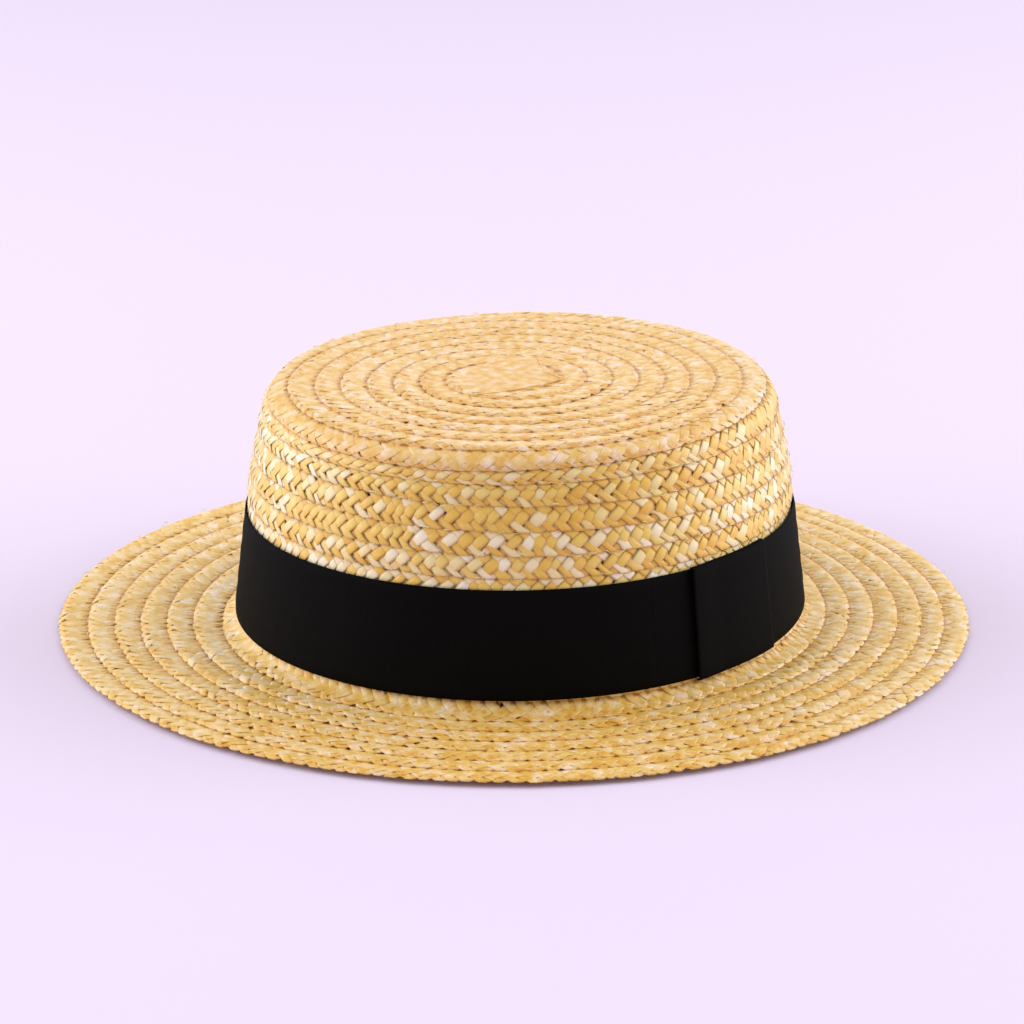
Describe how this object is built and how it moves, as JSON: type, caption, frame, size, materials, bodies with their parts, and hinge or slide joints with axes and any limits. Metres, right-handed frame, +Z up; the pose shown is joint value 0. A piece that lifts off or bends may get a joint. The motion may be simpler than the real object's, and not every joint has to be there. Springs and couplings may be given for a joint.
{
  "type": "straw boater hat",
  "caption": "Stiff straw boater hat with a flat-topped oval crown, a flat round brim, a dark ribbon band and a ribbon keeper over the band's join",
  "frame": {"origin": "on the resting plane, under the middle of the brim", "axes": "+Z up through the crown, -Y towards the wearer's front, +X towards the wearer's left"},
  "size_m": [0.2974, 0.3042, 0.085],
  "materials": {
    "straw": "satin",
    "ribbon": "matte"
  },
  "bodies": {
    "root": {"crown": "straw", "brim": "straw", "hat_band": "ribbon", "band_keeper": "ribbon"}
  },
  "joints": []
}
